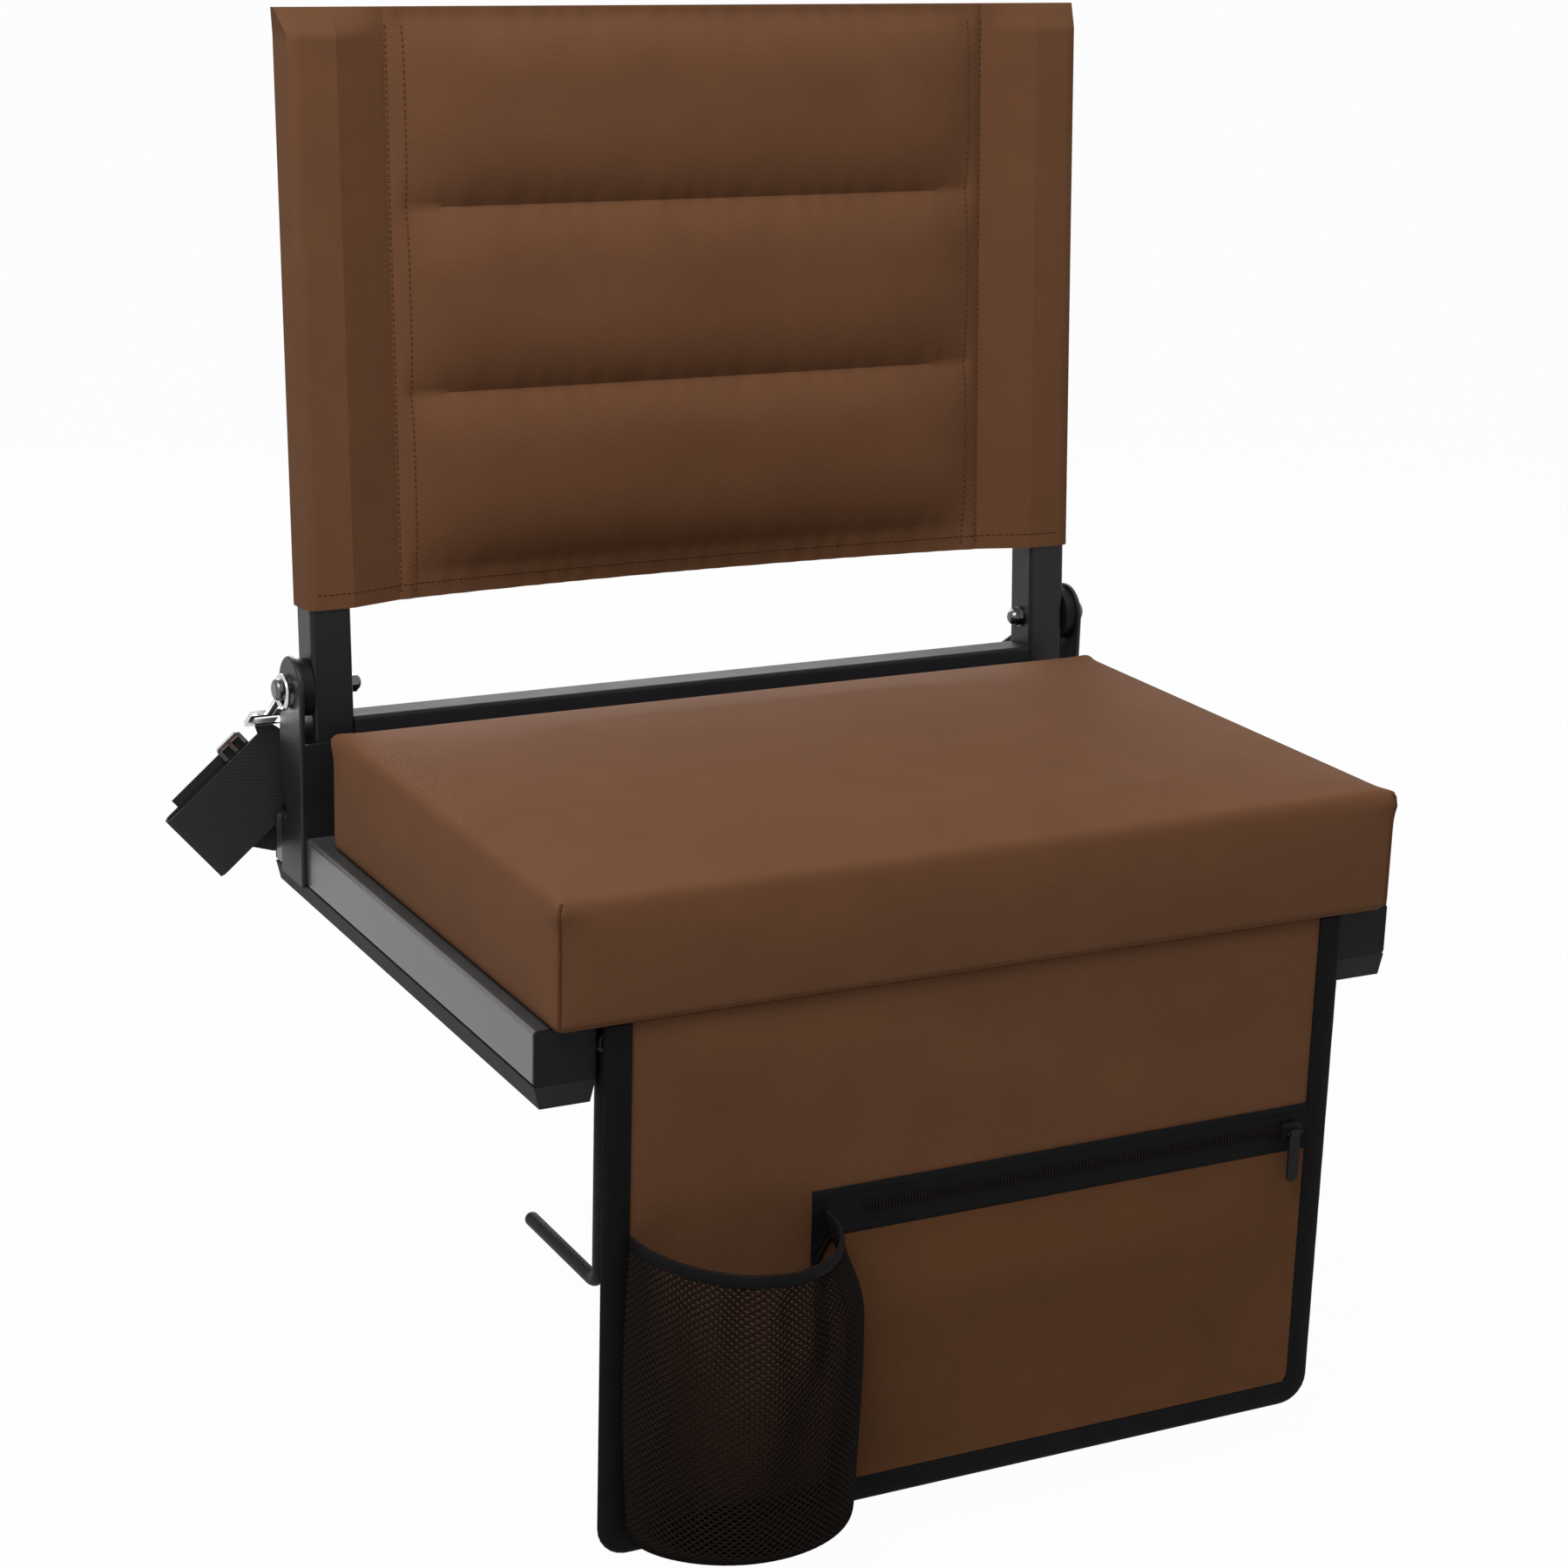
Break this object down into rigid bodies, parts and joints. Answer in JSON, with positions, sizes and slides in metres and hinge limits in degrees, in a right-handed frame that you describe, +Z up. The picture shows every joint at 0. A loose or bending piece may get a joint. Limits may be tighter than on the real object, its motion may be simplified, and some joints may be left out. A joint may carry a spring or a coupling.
{
  "type": "stadium seat",
  "caption": "Folding bleacher seat with a box cushion on a tube frame, a quilted fabric back that folds forward, a hanging storage apron, bench hooks and a shoulder strap.",
  "frame": {"origin": "middle between the two grip strips, on the plane of their undersides, where the seat rests on the bench", "axes": "+X to the right as seen from the front, +Y to the back, +Z up"},
  "size_m": [0.6103, 0.4821, 0.7758],
  "materials": {
    "frame_paint": "satin",
    "cap_plastic": "matte",
    "grip_rubber": "matte",
    "board_wood": "raw",
    "screw_steel": "satin",
    "brown_fabric": "woven",
    "foam": "open cell",
    "black_webbing": "woven",
    "black_mesh": "net",
    "chrome_wire": "polished"
  },
  "bodies": {
    "seat_frame": {"left_seat_rail": "frame_paint", "right_seat_rail": "frame_paint", "rail_end_caps": "cap_plastic", "left_grip_strip": "grip_rubber", "right_grip_strip": "grip_rubber", "front_cross_tube": "frame_paint", "rear_cross_tube": "frame_paint", "seat_board": "board_wood", "board_screws": "screw_steel", "cushion_cover": "brown_fabric", "cushion_foam": "foam", "left_hinge_bracket": "frame_paint", "right_hinge_bracket": "frame_paint", "hinge_bolts": "screw_steel", "hinge_washers": "screw_steel", "hinge_dome_nuts": "screw_steel", "hinge_spacers": "cap_plastic", "hook_bolts": "screw_steel", "hook_washers": "screw_steel", "hook_nuts": "screw_steel", "shoulder_strap": "black_webbing", "strap_tri_glide": "chrome_wire", "left_snap_hook": "chrome_wire", "right_snap_hook": "chrome_wire"},
    "back_frame": {"left_back_upright": "frame_paint", "right_back_upright": "frame_paint", "upright_end_caps": "cap_plastic", "back_crossbar": "frame_paint", "back_cover": "brown_fabric", "lower_back_pad": "foam", "middle_back_pad": "foam", "upper_back_pad": "foam"},
    "front_apron": {"apron_panel": "brown_fabric", "apron_binding": "black_webbing", "zip_pocket_panel": "brown_fabric", "zip_tape": "black_webbing", "zip_chain": "cap_plastic", "cup_holder": "black_mesh", "cup_holder_hem": "black_webbing"},
    "zip_slider_body": {"zip_slider": "screw_steel"},
    "zip_pull_body": {"zip_pull": "screw_steel"},
    "left_hook": {"left_bench_hook": "frame_paint"},
    "right_hook": {"right_bench_hook": "frame_paint"}
  },
  "joints": [
    {"name": "back_fold", "type": "hinge", "parent": "seat_frame", "child": "back_frame", "pos_m": [0, 0.162, 0.129], "axis": [1, 0, 0], "range_deg": [0, 86]},
    {"name": "apron_swing", "type": "hinge", "parent": "seat_frame", "child": "front_apron", "pos_m": [0, -0.205, 0.039], "axis": [-1, 0, 0], "range_deg": [0, 90]},
    {"name": "zip_slide", "type": "slide", "parent": "front_apron", "child": "zip_slider_body", "axis": [-1, 0, 0], "range_m": [0, 0.265]},
    {"name": "zip_pull_swing", "type": "hinge", "parent": "zip_slider_body", "child": "zip_pull_body", "pos_m": [0.1997, -0.2142, -0.0828], "axis": [-1, 0, 0], "range_deg": [0, 150]},
    {"name": "left_hook_fold", "type": "hinge", "parent": "seat_frame", "child": "left_hook", "pos_m": [-0.221, -0.19, 0.0295], "axis": [0, -1, 0], "range_deg": [0, 80]},
    {"name": "right_hook_fold", "type": "hinge", "parent": "seat_frame", "child": "right_hook", "pos_m": [0.221, -0.19, 0.0295], "axis": [0, 1, 0], "range_deg": [0, 80]}
  ]
}
